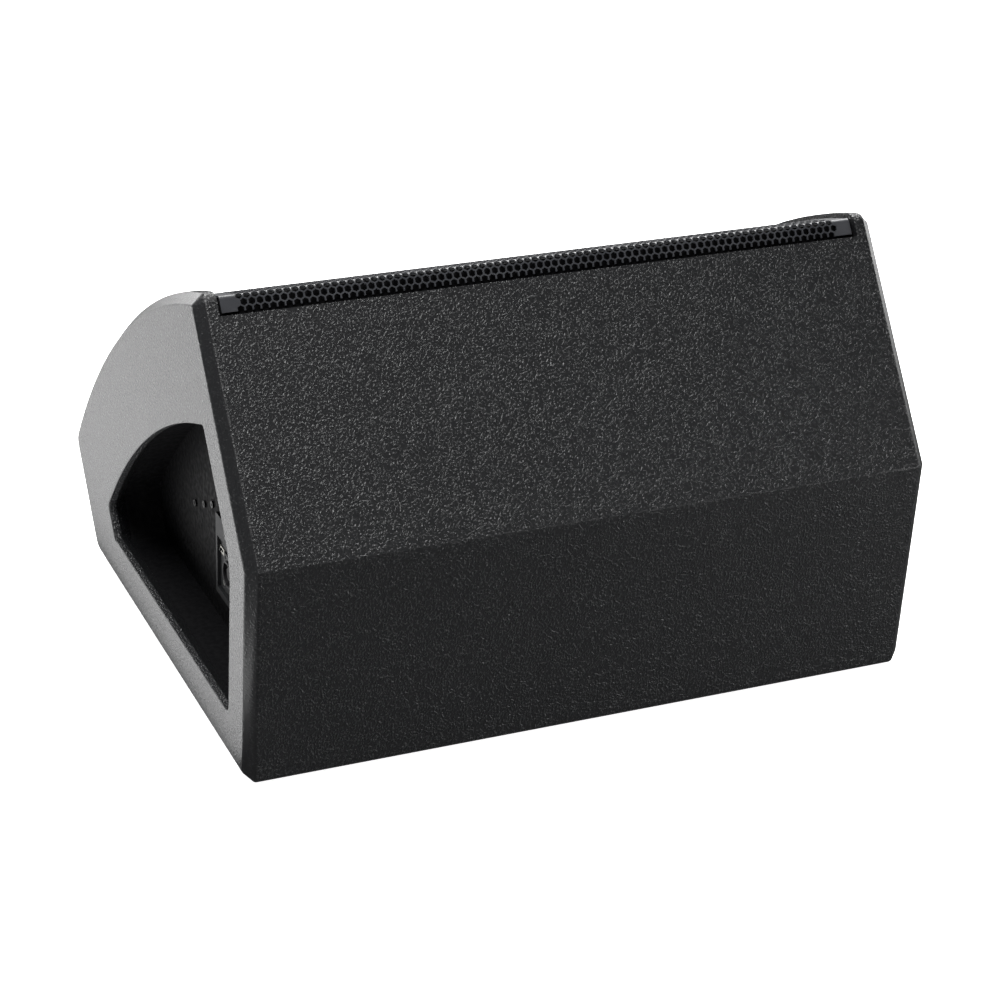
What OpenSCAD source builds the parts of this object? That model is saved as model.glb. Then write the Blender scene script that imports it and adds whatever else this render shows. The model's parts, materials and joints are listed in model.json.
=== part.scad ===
// Coaxial stage monitor wedge: plywood cabinet with grip pockets in both end panels,
// a curved steel grille, a 15 inch coaxial driver and a passive crossover.
// X runs along the width, the grille faces -Y and up, Z is up, the floor is Z = 0.

/* [Cabinet] */
// Overall width across the two end panels
cabinet_w = 600; // [560:1:640]
// Length of the flat underside, front to back, to its sharp corners
base_len = 431.5; // [420:0.5:440]
// Height of the rear lower face
rear_lower_h = 195; // [190:1:200]
// Backward lean of the rear lower face, in degrees
rear_lean = 3; // [2:0.5:4]
// Angle of the rear upper and front lower faces above the floor, in degrees
tilt = 54; // [53:0.5:55]
// Length of the rear upper face
rear_upper_len = 222.5; // [216:0.5:226]
// Length of the front lower face
front_lower_len = 113; // [110:1:116]
// Radius of the curved front
front_r = 727; // [700:1:760]
// Width of the bevel round the outside of each end panel
bevel_w = 9; // [6:0.5:10]

/* [Panels] */
// Thickness of each end panel
end_t = 18; // [18:1:20]
// Thickness of the other cabinet panels
shell_t = 15; // [14:0.5:16]
// Thickness of the baffle
baffle_t = 18; // [16:1:18]
// Depth of the baffle face below the front edge
baffle_drop = 14; // [13:0.5:16]
// Height of the rubber feet under the base
foot_h = 5; // [4:0.5:8]

/* [Grip pockets] */
// Distance of the opening from the floor edge and from the rear lower edge
open_low_inset = 44.5; // [42:0.5:48]
// Distance of the opening from the rear upper edge
open_up_inset = 43; // [42:0.5:48]
// Distance of the opening from the curved front
open_front_inset = 103.5; // [102:0.5:110]
// Distance of the opening from the front lower edge
open_toe_inset = 79; // [76:1:84]
// Depth of the pocket from the end panel's outer face
pocket_depth = 50; // [48:1:54]
// Thickness of the pocket's frame and back
pocket_t = 12; // [9:1:12]

/* [Grille] */
// Thickness of the grille sheet
grille_t = 1.5; // [1:0.1:2]
// Depth of the grille below the curved edges of the end panels
grille_drop = 4; // [3.5:0.5:5]
// Depth of the turned-down flanges below the faces they lie on
flange_drop = 3; // [2.5:0.5:3.5]
// Length of the flange on the rear upper face, from the top edge
rear_flange = 17; // [15:0.5:18]
// Length of the flange on the front lower face, from the front edge
front_flange = 24; // [22:0.5:26]
// Gap between the grille and each end panel
grille_gap = 3; // [2:0.5:4]
// Thickness of the foam behind the grille
foam_t = 6; // [5:0.5:6]

/* [Woofer] */
// Outside radius of the basket flange
basket_r = 194; // [190:1:195]
// Radius of the hole in the baffle
cutout_r = 176; // [174:1:178]
// Radius of the voice coil former
coil_r = 38.1; // [38:0.1:38.5]
// Bolt circle radius of the basket
bolt_circle_r = 185; // [184:0.5:187]

/* [Connector plate] */
// Width of the plate, front to back
plate_w = 165; // [160:1:168]
// Height of the plate
plate_h = 75; // [72:1:78]
// Height of the plate's lower edge above the cabinet's underside
plate_lift = 58; // [56:1:60]
// Y of the plate's front edge
plate_front_y = 21; // [18:1:24]

/* [Hidden] */
$fn = 64;
eps = 0.01;

end_x = cabinet_w / 2;
inner_x = end_x - end_t;
pocket_x = end_x - pocket_depth;
open_grow = 10;
open_lip = 7;

// Corner radii in the order heel, knee, crown, tip, toe, going round from the rear of the base.
// Heel and knee are the two rear corners, crown is the top edge and tip is the foremost edge.
body_radii = [6, 3, 12, 20, 25];
open_radii = [8, 60, 5, 8, 8];
open_insets = [open_low_inset, open_low_inset, open_up_inset, open_front_inset, open_toe_inset];
grille_radii = [0, 0, 4, 8, 0];
grille_insets = [0, 0, flange_drop, grille_drop, flange_drop];

function unit(a) = [cos(a), sin(a)];
function dot(a, b) = a[0] * b[0] + a[1] * b[1];
function angle_of(v) = atan2(v[1], v[0]);

// Outward directions of the four flat faces
base_a = -90;
rear_a = -rear_lean;
up_a = 90 - tilt;
low_a = 270 - tilt;
rise = unit(180 - tilt);

// The profile's sharp corners, first with the heel at Y = 0, then centred front to back
heel0 = [0, foot_h];
knee0 = heel0 + [rear_lower_h * tan(rear_lean), rear_lower_h];
toe0 = heel0 - [base_len, 0];
crown0 = knee0 + rear_upper_len * rise;
tip0 = toe0 + front_lower_len * rise;
chord = crown0 - tip0;
chord_l = norm(chord);
sag_leg = sqrt(front_r * front_r - chord_l * chord_l / 4);
inward = [chord[1], -chord[0]] / chord_l;
centre0 = (crown0 + tip0) / 2 + inward * sag_leg;

// The foremost point lies on the rounded tip
tip_centre0 = line_circle(low_a, dot(unit(low_a), toe0) - body_radii[3], centre0, front_r - body_radii[3], -1);
shift_y = -(knee0[0] + tip_centre0[0] - body_radii[3]) / 2;
heel = heel0 + [shift_y, 0];
knee = knee0 + [shift_y, 0];
toe = toe0 + [shift_y, 0];
crown = crown0 + [shift_y, 0];
tip = tip0 + [shift_y, 0];
centre = centre0 + [shift_y, 0];

// Where two lines meet, each given by its outward direction and its distance from the origin
function line_line(a1, h1, a2, h2) =
    [h1 * sin(a2) - h2 * sin(a1), h2 * cos(a1) - h1 * cos(a2)] / sin(a2 - a1);
// Where a line meets a circle, on the side that side = 1 or -1 picks
function line_circle(a, h, c, r, side) =
    let (q = h - dot(unit(a), c))
    c + q * unit(a) + side * sqrt(r * r - q * q) * unit(a + 90);
function arc_points(c, r, a0, a1, step) =
    r < eps ? [c] :
    let (n = max(1, ceil(abs(a1 - a0) / step)))
    [for (i = [0:n]) c + r * unit(a0 + (a1 - a0) * i / n)];

// The cabinet's outline with each face moved in by insets and everything moved in by d more
function outline(insets, radii, d = 0) =
    let (
        base_h = -foot_h - insets[0],
        rear_h = dot(unit(rear_a), heel) - insets[1],
        up_h = dot(unit(up_a), knee) - insets[2],
        arc_r = front_r - insets[3],
        low_h = dot(unit(low_a), toe) - insets[4],
        m = [for (r = radii) max(r, d)],
        c_heel = line_line(base_a, base_h - m[0], rear_a, rear_h - m[0]),
        c_knee = line_line(rear_a, rear_h - m[1], up_a, up_h - m[1]),
        c_crown = line_circle(up_a, up_h - m[2], centre, arc_r - m[2], 1),
        c_tip = line_circle(low_a, low_h - m[3], centre, arc_r - m[3], -1),
        c_toe = line_line(low_a, low_h - m[4], base_a, base_h - m[4]),
        crown_a = angle_of(c_crown - centre),
        tip_a = angle_of(c_tip - centre)
    )
    concat(
        arc_points(c_heel, m[0] - d, base_a, rear_a, 15),
        arc_points(c_knee, m[1] - d, rear_a, up_a, 6),
        arc_points(c_crown, m[2] - d, up_a, crown_a, 15),
        [for (i = [1:23]) centre + (arc_r - d) * unit(crown_a + (tip_a - crown_a) * i / 24)],
        arc_points(c_tip, m[3] - d, tip_a, low_a, 8),
        arc_points(c_toe, m[4] - d, low_a, base_a + 360, 8)
    );

// Extrudes a side profile, drawn with Y across and Z up, from x0 to x1
module along_x(x0, x1) {
    translate([x0, 0, 0])
        rotate([90, 0, 90])
            linear_extrude(x1 - x0)
                children();
}

module body_shape(d = 0) {
    polygon(outline([0, 0, 0, 0, 0], body_radii, d));
}

module open_shape(d = 0) {
    polygon(outline(open_insets, open_radii, d));
}

// The acoustic axis: its own +Z leaves the baffle, its own +Y points at the rear upper face
mid_v = (dot(unit(up_a), knee) + dot(unit(up_a), toe)) / 2;
half_v = (dot(unit(up_a), knee) - dot(unit(up_a), toe)) / 2;
crown_u = dot(rise, crown);
tip_u = dot(rise, tip);
baffle_u = tip_u - baffle_drop;
baffle_o = mid_v * unit(up_a) + baffle_u * rise;

module on_axis() {
    translate([0, baffle_o[0], baffle_o[1]])
        rotate([up_a, 0, 0])
            children();
}

// Half plane of the side profile beyond distance h in direction a
module beyond(a, h, far = 900) {
    rotate(a)
        translate([h, -far])
            square([far, 2 * far]);
}

// ---------- cabinet panels ----------

module end_panel(side) {
    mirror([side < 0 ? 1 : 0, 0, 0])
        difference() {
            hull() {
                along_x(inner_x, end_x - bevel_w) body_shape();
                along_x(end_x - eps, end_x) body_shape(bevel_w);
            }
            along_x(inner_x - 1, end_x + 1) open_shape();
            hull() {
                along_x(inner_x - eps, inner_x) open_shape(-open_grow);
                along_x(end_x - open_lip - eps, end_x - open_lip) open_shape();
            }
        }
}

module end_panel_right() color("dimgray") end_panel(1);
module end_panel_left() color("dimgray") end_panel(-1);

// The band between the outline and the same outline shell_t further in
module shell_band() {
    difference() {
        body_shape();
        body_shape(shell_t);
    }
}

// Wedge between the mitres of two corners of the profile, seen from the point where both mitres meet
module mitred(corner_1, turn_1, corner_2, turn_2, reach = 200) {
    polygon([corner_1 + 40 * unit(turn_1), corner_2 + 40 * unit(turn_2),
             corner_2 - reach * unit(turn_2), corner_1 - reach * unit(turn_1)]);
}

heel_mitre = (base_a + rear_a) / 2;
knee_mitre = (rear_a + up_a) / 2;
toe_mitre = (low_a + base_a + 360) / 2;
slot_len = rear_flange + 3;
front_slot_len = front_flange + 3;
slot_depth = 7;
grille_seat = grille_drop + grille_t + 1;

module base_panel() {
    color("dimgray")
        along_x(-inner_x, inner_x)
            intersection() {
                shell_band();
                mitred(toe, toe_mitre, heel, heel_mitre, 40);
            }
}

module rear_lower_panel() {
    color("dimgray")
        along_x(-inner_x, inner_x)
            intersection() {
                shell_band();
                mitred(heel, heel_mitre, knee, knee_mitre, 40);
            }
}

// The space for the grille: everything above the flange ends that is outside the panel's seat
module grille_relief(a, edge, len) {
    face_h = dot(unit(a), edge);
    intersection() {
        beyond(a, face_h - slot_depth);
        beyond(180 - tilt, dot(rise, edge) - len);
    }
}

module above_seat() {
    difference() {
        translate(centre) circle(r = front_r + 60, $fn = 360);
        translate(centre) circle(r = front_r - grille_seat, $fn = 360);
    }
}

module rear_upper_panel() {
    color("dimgray")
        along_x(-inner_x, inner_x)
            difference() {
                intersection() {
                    body_shape();
                    beyond(up_a, dot(unit(up_a), knee) - shell_t);
                    rotate(knee_mitre + 90) translate([dot(unit(knee_mitre + 90), knee), -400]) square([900, 800]);
                }
                grille_relief(up_a, crown, slot_len);
                above_seat();
            }
}

module front_lower_panel() {
    color("dimgray")
        difference() {
            along_x(-inner_x, inner_x)
                difference() {
                    intersection() {
                        shell_band();
                        beyond(low_a, dot(unit(low_a), toe) - shell_t);
                        rotate(toe_mitre - 90) translate([dot(unit(toe_mitre - 90), toe), -400]) square([900, 800]);
                    }
                    grille_relief(low_a, tip, front_slot_len);
                    above_seat();
                }
            grille_screw_places() translate([0, 0, -12]) cylinder(r = screw_shank_r + 0.1, h = 24);
        }
}

// Grille screws stand square to the front lower face, in the middle of its flange
screw_shank_r = 2;
screw_rows_x = [-240, -80, 80, 240];
screw_u = tip_u - 17;
module grille_screw_places() {
    face_h = dot(unit(low_a), toe) - flange_drop;
    p = face_h * unit(low_a) + screw_u * rise;
    for (x = screw_rows_x)
        translate([x, p[0], p[1]])
            rotate([up_a + 90, 0, 0])
                children();
}

port_x = 188;
port_y = -163;
port_r = 33;
port_wall = 3;
port_len = 95;

bolt_angles = [for (i = [0:7]) 22.5 + 45 * i];
module bolt_places() {
    for (a = bolt_angles)
        rotate(a)
            translate([bolt_circle_r, 0, 0])
                children();
}

module baffle() {
    color("burlywood")
        on_axis()
            difference() {
                translate([-inner_x, -half_v + shell_t, -baffle_t])
                    cube([2 * inner_x, 2 * (half_v - shell_t), baffle_t]);
                translate([0, 0, -baffle_t - 1]) cylinder(r = cutout_r, h = baffle_t + 2, $fn = 180);
                for (s = [-1, 1])
                    translate([s * port_x, port_y, -baffle_t - 1])
                        cylinder(r = port_r + port_wall, h = baffle_t + 2);
                bolt_places() translate([0, 0, -baffle_t - 1]) cylinder(r = tee_r, h = baffle_t + 2);
            }
}

batten_w = 12;
module baffle_battens() {
    color("burlywood")
        on_axis()
            for (s = [-1, 1])
                translate([-inner_x, s > 0 ? half_v - shell_t - batten_w : shell_t - half_v, -baffle_t - batten_w])
                    cube([2 * inner_x, batten_w, batten_w]);
}

// ---------- grip pockets ----------

module pocket_frame(side) {
    mirror([side < 0 ? 1 : 0, 0, 0])
        along_x(pocket_x, inner_x)
            difference() {
                open_shape(-open_grow - pocket_t);
                open_shape(-open_grow);
            }
}

module pocket_frame_right() color("dimgray") pocket_frame(1);
module pocket_frame_left() color("dimgray") pocket_frame(-1);

dish_wall = 2;
dish_w = 153;
dish_h = 53;
dish_depth = 3;
plate_t = 2;
plate_y0 = plate_front_y;
plate_z0 = foot_h + plate_lift;
dish_y0 = plate_y0 + 2;
dish_z0 = plate_z0 + 4;
cut_gap = 1;

module pocket_back_right() {
    color("dimgray")
        difference() {
            along_x(pocket_x - pocket_t, pocket_x) open_shape(-open_grow - pocket_t);
            translate([pocket_x - pocket_t - 1, dish_y0 - cut_gap, dish_z0 - cut_gap])
                cube([pocket_t + 2, dish_w + 2 * cut_gap, dish_h + 2 * cut_gap]);
            pocket_screw_places(1) translate([0, 0, -9]) cylinder(r = 1.85, h = 10);
            plate_screw_places() translate([0, 0, -9]) cylinder(r = 1.85, h = 10);
        }
}

module pocket_back_left() {
    color("dimgray")
        difference() {
            mirror([1, 0, 0]) along_x(pocket_x - pocket_t, pocket_x) open_shape(-open_grow - pocket_t);
            pocket_screw_places(-1) translate([0, 0, -9]) cylinder(r = 1.85, h = 10);
        }
}

// Screws that hold the pocket back to the rail behind it, in a line above the connector plate
pocket_screw_y = [8.5, -14, -40];
pocket_screw_z = [133.5, 123.5, 112.5];
module pocket_screw_places(side) {
    for (i = [0:2])
        translate([side * pocket_x, pocket_screw_y[i], foot_h + pocket_screw_z[i]])
            rotate([0, side * 90, 0])
                children();
}

module plate_screw_places() {
    for (p = [[30, 66], [90, 66], [plate_w - 5, 66], [plate_w - 5, 12]])
        translate([pocket_x, plate_y0 + p[0], plate_z0 + p[1]])
            rotate([0, 90, 0])
                children();
}

// Pan-head screw whose head sits on the plane Z = 0 of its place
module pan_screw(head_r, head_h, shank_r, shank_l) {
    difference() {
        union() {
            cylinder(r = head_r, h = head_h);
            translate([0, 0, -shank_l]) cylinder(r = shank_r, h = shank_l);
        }
        for (a = [0, 90])
            rotate(a)
                translate([-head_r * 0.55, -head_r * 0.12, head_h * 0.45])
                    cube([head_r * 1.1, head_r * 0.24, head_h]);
    }
}

module pocket_screws() {
    color("black")
        for (s = [-1, 1])
            pocket_screw_places(s) pan_screw(3.2, 1.6, 1.75, 8);
}

// ---------- grille ----------

module grille_shape(d0, d1) {
    rear_h = crown_u - rear_flange;
    front_h = tip_u - front_flange;
    difference() {
        polygon(outline(grille_insets, grille_radii, d0));
        polygon(outline(grille_insets, grille_radii, d1));
        difference() {
            square(1400, center = true);
            beyond(180 - tilt, rear_h);
            intersection() {
                beyond(180 - tilt, front_h);
                beyond(low_a, -mid_v);
            }
        }
    }
}

module grille() {
    color("black")
        difference() {
            along_x(-inner_x + grille_gap, inner_x - grille_gap) grille_shape(0, grille_t);
            grille_screw_places() translate([0, 0, -3]) cylinder(r = screw_shank_r + 0.3, h = 6);
        }
}

module grille_foam() {
    color([0.12, 0.12, 0.12])
        along_x(-inner_x + 1, inner_x - 1)
            intersection() {
                difference() {
                    translate(centre) circle(r = front_r - grille_drop - grille_t - 0.2, $fn = 360);
                    translate(centre) circle(r = front_r - grille_drop - grille_t - foam_t, $fn = 360);
                }
                beyond(180 - tilt, baffle_u + 0.3);
                difference() {
                    beyond(low_a, -mid_v - half_v + shell_t + 0.3);
                    beyond(low_a, -mid_v + half_v - shell_t - 0.3);
                }
            }
}

module grille_screws() {
    color("black")
        grille_screw_places() pan_screw(4.2, 2.2, screw_shank_r, 11);
}

// ---------- feet ----------

foot_x = 225;
foot_y = [-135, 195];
foot_r = 16;
module foot_places() {
    for (x = [-foot_x, foot_x], y = foot_y)
        translate([x, y, 0])
            children();
}

module rubber_feet() {
    color([0.15, 0.15, 0.15])
        foot_places()
            difference() {
                cylinder(r = foot_r, h = foot_h);
                translate([0, 0, -1]) cylinder(r = 5, h = 3);
                translate([0, 0, -1]) cylinder(r = 2.2, h = foot_h + 2);
            }
}

module foot_screws() {
    color("silver")
        foot_places()
            translate([0, 0, 1.9])
                rotate([180, 0, 0])
                    pan_screw(4.2, 1.4, 1.9, foot_h - 1.9);
}

// ---------- reflex ports ----------

module port_tube(side) {
    on_axis()
        translate([side * port_x, port_y, 0])
            difference() {
                union() {
                    translate([0, 0, -port_len]) cylinder(r = port_r + port_wall - 0.05, h = port_len);
                    cylinder(r = port_r + 8, h = 2.5);
                }
                translate([0, 0, -port_len - 1]) cylinder(r = port_r, h = port_len + 5);
            }
}

module port_tube_right() color("black") port_tube(1);
module port_tube_left() color("black") port_tube(-1);

// ---------- coaxial driver, low frequency part ----------

flange_t = 6;
neck_z = -95;
spider_z = -80;
top_plate_z = -107;
magnet_z = -127;
back_plate_z = -135;
pole_r = 37;
throat_r = 12.5;

module woofer_basket() {
    color("darkslategray")
        on_axis()
            difference() {
                rotate_extrude($fn = 180)
                    polygon([[168, 0], [basket_r, 0], [basket_r, flange_t], [168, flange_t]]);
                bolt_places() translate([0, 0, -1]) cylinder(r = 2.8, h = flange_t + 2);
            }
    color("darkslategray")
        on_axis()
            difference() {
                rotate_extrude($fn = 180)
                    polygon([[168, 0], [174.5, 0], [174.5, -6], [100, neck_z + 12], [100, neck_z - 4],
                             [42, neck_z - 4], [42, neck_z + 1], [84, neck_z + 1], [84, spider_z],
                             [95, spider_z], [168, -8]]);
                for (i = [0:5])
                    rotate(60 * i)
                        translate([96, -28, neck_z + 18]) cube([90, 56, 62]);
            }
}

module woofer_gasket() {
    color([0.1, 0.1, 0.1])
        on_axis()
            difference() {
                translate([0, 0, flange_t + 0.9]) cylinder(r = basket_r - 1, h = 2.6, $fn = 180);
                translate([0, 0, flange_t]) cylinder(r = 172, h = 6, $fn = 180);
                bolt_places() translate([0, 0, flange_t]) cylinder(r = 6, h = 6);
            }
    color([0.1, 0.1, 0.1])
        on_axis()
            difference() {
                translate([0, 0, flange_t]) cylinder(r = basket_r - 1, h = 0.9, $fn = 180);
                translate([0, 0, flange_t - 1]) cylinder(r = 177.2, h = 3, $fn = 180);
                bolt_places() translate([0, 0, flange_t - 1]) cylinder(r = 6, h = 6);
            }
}

module woofer_bolts() {
    color("dimgray")
        on_axis()
            bolt_places()
                translate([0, 0, flange_t])
                    pan_screw(4.8, 3, 2.5, flange_t + baffle_t - 1);
}

tee_r = 3.6;
module woofer_tee_nuts() {
    color("silver")
        on_axis()
            bolt_places()
                difference() {
                    union() {
                        translate([0, 0, -baffle_t]) cylinder(r = tee_r - 0.05, h = 10);
                        translate([0, 0, -baffle_t - 1.2]) cylinder(r = 8, h = 1.2);
                    }
                    translate([0, 0, -baffle_t - 2]) cylinder(r = 2.55, h = 14);
                }
}

module woofer_top_plate() {
    color("silver")
        on_axis()
            translate([0, 0, top_plate_z])
                difference() {
                    cylinder(r = 88, h = neck_z - 4 - top_plate_z, $fn = 120);
                    translate([0, 0, -1]) cylinder(r = coil_r + 1.5, h = 20, $fn = 120);
                }
}

module woofer_magnet() {
    color([0.2, 0.2, 0.22])
        on_axis()
            translate([0, 0, magnet_z])
                difference() {
                    cylinder(r = 92, h = top_plate_z - magnet_z, $fn = 120);
                    translate([0, 0, -1]) cylinder(r = 50, h = 40, $fn = 120);
                }
}

module woofer_pole_piece() {
    color("silver")
        on_axis()
            difference() {
                union() {
                    translate([0, 0, back_plate_z]) cylinder(r = 88, h = magnet_z - back_plate_z, $fn = 120);
                    translate([0, 0, back_plate_z]) cylinder(r = pole_r, h = neck_z - 4 - back_plate_z, $fn = 120);
                }
                translate([0, 0, back_plate_z - 1]) cylinder(r = throat_r, h = 60);
            }
}

// Moving parts of the woofer
module coil_former() {
    color("goldenrod")
        on_axis()
            translate([0, 0, -114])
                difference() {
                    cylinder(r = coil_r + 0.15, h = 42, $fn = 120);
                    translate([0, 0, -1]) cylinder(r = coil_r - 0.15, h = 50, $fn = 120);
                }
}

module coil_winding() {
    color("orangered")
        on_axis()
            translate([0, 0, -112])
                difference() {
                    cylinder(r = coil_r + 0.75, h = 17, $fn = 120);
                    translate([0, 0, -1]) cylinder(r = coil_r + 0.15, h = 30, $fn = 120);
                }
}

module woofer_cone() {
    color([0.13, 0.13, 0.14])
        on_axis()
            rotate_extrude($fn = 180)
                polygon([[coil_r + 0.15, -74], [coil_r + 0.15, -77], [70, -56], [110, -34], [150, -8.4],
                         [154, -7.2], [154, -6], [149.4, -6.8], [109.4, -32.4], [69.4, -54.4]]);
}

roll_c = 162;
roll_r = 8;
module woofer_surround() {
    color([0.08, 0.08, 0.08])
        on_axis()
            rotate_extrude($fn = 180)
                union() {
                    difference() {
                        translate([roll_c, flange_t]) circle(r = roll_r + 0.8, $fn = 48);
                        translate([roll_c, flange_t]) circle(r = roll_r, $fn = 48);
                        translate([roll_c - 20, flange_t - 20]) square([40, 20]);
                    }
                    translate([roll_c - roll_r - 0.8, -5.9]) square([0.8, flange_t + 5.9]);
                    translate([roll_c - roll_r - 5.6, -5.9]) square([5.6, 0.8]);
                    translate([roll_c + roll_r, flange_t]) square([7, 0.8]);
                }
}

// Flat corrugated ring between the former and the basket's inner ledge
module woofer_spider() {
    color("khaki")
        on_axis()
            rotate_extrude($fn = 120)
                difference() {
                    union() {
                        for (i = [0:4])
                            translate([coil_r + 4.6 + 9.2 * i, spider_z])
                                circle(r = 4.6, $fn = 24);
                        translate([coil_r + 46, spider_z]) square([7, 0.5]);
                    }
                    for (i = [0:4])
                        translate([coil_r + 4.6 + 9.2 * i, spider_z])
                            circle(r = 4.1, $fn = 24);
                    translate([0, spider_z - 10]) square([coil_r + 46, 10]);
                    translate([0, spider_z - 10]) square([coil_r + 0.2, 20]);
                }
}

module woofer_terminal() {
    color("darkred")
        on_axis()
            difference() {
                union() {
                    translate([-106, -12, neck_z - 2]) cube([8, 24, 12]);
                    for (s = [-1, 1])
                        translate([-116, s * 6 - 2.4, neck_z + 4]) cube([11, 4.8, 0.8]);
                }
                cylinder(r = 100, h = 400, center = true, $fn = 180);
            }
}

// ---------- coaxial driver, high frequency part ----------

module hf_horn() {
    color("black")
        on_axis()
            rotate_extrude($fn = 96)
                polygon([[throat_r, neck_z - 4], [14, -86], [18, -72], [26, -56], [38, -41], [54, -27],
                         [58, -26], [57, -29], [40, -44], [28.5, -59], [21, -74], [18, -90], [32, -95],
                         [32, neck_z - 4]]);
}

hf_z = back_plate_z;
module hf_mounting_plate() {
    color("silver")
        on_axis()
            translate([0, 0, hf_z - 5])
                difference() {
                    cylinder(r = 45, h = 5, $fn = 96);
                    translate([0, 0, -1]) cylinder(r = throat_r, h = 8);
                }
}

module hf_phase_plug() {
    color("gainsboro")
        on_axis()
            rotate_extrude($fn = 72)
                polygon([[throat_r, hf_z - 5], [21.5, hf_z - 5], [21.5, hf_z - 14], [16, hf_z - 17],
                         [8, hf_z - 19.5], [0, hf_z - 20.5], [0, hf_z - 8], [5, hf_z - 10], [throat_r, hf_z - 11]]);
}

module hf_magnet() {
    color([0.25, 0.25, 0.28])
        on_axis()
            translate([0, 0, hf_z - 17])
                difference() {
                    cylinder(r = 41, h = 12, $fn = 96);
                    translate([0, 0, -1]) cylinder(r = 23.5, h = 20, $fn = 96);
                }
}

module hf_diaphragm() {
    color("gray")
        on_axis()
            rotate_extrude($fn = 72)
                polygon([[0, hf_z - 22], [8, hf_z - 21], [16, hf_z - 18.5], [21.9, hf_z - 15.2],
                         [22.3, hf_z - 8], [22.7, hf_z - 8], [22.7, hf_z - 18.3], [26, hf_z - 18.3],
                         [26, hf_z - 18.6], [22.2, hf_z - 18.6], [16, hf_z - 19.1], [8, hf_z - 21.6],
                         [0, hf_z - 22.6]]);
}

module hf_suspension() {
    color("goldenrod")
        on_axis()
            rotate_extrude($fn = 72)
                polygon([[26.2, hf_z - 18.6], [38, hf_z - 18.6], [38, hf_z - 17], [33, hf_z - 17],
                         [33, hf_z - 18.3], [26.2, hf_z - 18.3]]);
}

module hf_cover() {
    color([0.1, 0.1, 0.1])
        on_axis()
            difference() {
                union() {
                    translate([0, 0, hf_z - 38]) cylinder(r = 45, h = 33, $fn = 96);
                    translate([-12, 44, hf_z - 30]) cube([24, 4, 14]);
                }
                translate([0, 0, hf_z - 35]) cylinder(r = 41.2, h = 40, $fn = 96);
            }
}

// ---------- connector plate in the right-hand pocket ----------

socket_y = [plate_y0 + 32, plate_y0 + 74];
socket_z = dish_z0 + dish_h / 2;
dish_floor_x = pocket_x + plate_t - dish_depth;
socket_body_r = 11.9;
switch_y = plate_y0 + 10.5;
switch_z = plate_z0 + 43;

module connector_plate() {
    color("slategray")
        difference() {
            union() {
                translate([pocket_x, plate_y0, plate_z0]) cube([plate_t, plate_w, plate_h]);
                translate([dish_floor_x - dish_wall, dish_y0, dish_z0])
                    cube([pocket_x - dish_floor_x + dish_wall + eps, dish_w, dish_h]);
            }
            translate([dish_floor_x, dish_y0 + dish_wall, dish_z0 + dish_wall])
                cube([dish_depth + 5, dish_w - 2 * dish_wall, dish_h - 2 * dish_wall]);
            for (y = socket_y)
                translate([dish_floor_x - 5, y, socket_z])
                    rotate([0, 90, 0])
                        cylinder(r = 12, h = 10);
            for (y = socket_y)
                socket_screw_places(y) translate([0, 0, -6]) cylinder(r = 1.6, h = 10);
            translate([dish_floor_x - 5, switch_y - 4.5, switch_z - 2.5]) cube([10, 9, 5]);
            plate_screw_places() translate([0, 0, -1]) cylinder(r = 1.85, h = 6);
        }
}

module plate_screws() {
    color("black")
        plate_screw_places() translate([0, 0, plate_t]) pan_screw(3, 1.5, 1.75, 9);
}

module socket_screw_places(y) {
    for (s = [-1, 1])
        translate([dish_floor_x, y + s * 9.5, socket_z + s * 12])
            rotate([0, 90, 0])
                children();
}

// Four-pole locking socket: square flange, barrel, ring-shaped mouth and centre post
module locking_socket(y) {
    translate([dish_floor_x, y, socket_z])
        rotate([0, 90, 0])
            difference() {
                union() {
                    translate([-15.5, -13, 0]) cube([31, 26, 2]);
                    translate([0, 0, -28]) cylinder(r = socket_body_r, h = 30);
                    cylinder(r = socket_body_r, h = 4);
                }
                difference() {
                    translate([0, 0, -16]) cylinder(r = 10, h = 30);
                    translate([0, 0, -17]) cylinder(r = 6, h = 19);
                }
                for (a = [45, 225])
                    rotate(a) translate([9, -1.8, -16]) cube([1.9, 3.6, 30]);
                translate([-12, 9.5, -5]) cylinder(r = 1.6, h = 12);
                translate([12, -9.5, -5]) cylinder(r = 1.6, h = 12);
                translate([-12, -9.5, -5]) cylinder(r = 1.6, h = 12);
                translate([12, 9.5, -5]) cylinder(r = 1.6, h = 12);
            }
}

module socket_input() color("black") locking_socket(socket_y[0]);
module socket_link() color("black") locking_socket(socket_y[1]);

module socket_screws() {
    color("silver")
        for (y = socket_y)
            socket_screw_places(y) translate([0, 0, 2]) pan_screw(2.6, 1.2, 1.5, 7);
}

// Push-on tags at the back of each socket
module socket_tags() {
    color("gold")
        for (y = socket_y, dy = [-5, 5], dz = [-5, 5])
            translate([dish_floor_x - 38, y + dy - 2.4, socket_z + dz - 0.4])
                cube([10, 4.8, 0.8]);
}

module mode_switch_body() {
    color("silver")
        difference() {
            union() {
                translate([dish_floor_x - 10, switch_y - 4.2, switch_z - 2.2]) cube([10, 8.4, 4.4]);
                translate([dish_floor_x, switch_y - 6, switch_z - 3]) cube([1, 12, 6]);
            }
            translate([dish_floor_x - 4, switch_y - 3.5, switch_z - 1.2]) cube([8, 7, 2.4]);
        }
}

module mode_switch_lever() {
    color("black")
        translate([dish_floor_x - 3.6, switch_y - 3.2, switch_z - 0.9])
            cube([6, 2.4, 1.8]);
}

// ---------- crossover ----------

board_x0 = -110;
board_w = 180;
board_y0 = 118;
board_d = 84;
floor_z = foot_h + shell_t;
board_z = floor_z + 8;
board_top = board_z + 1.6;
standoff_places = [for (x = [board_x0 + 6, board_x0 + board_w - 6], y = [board_y0 + 6, board_y0 + board_d - 6]) [x, y]];

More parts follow.
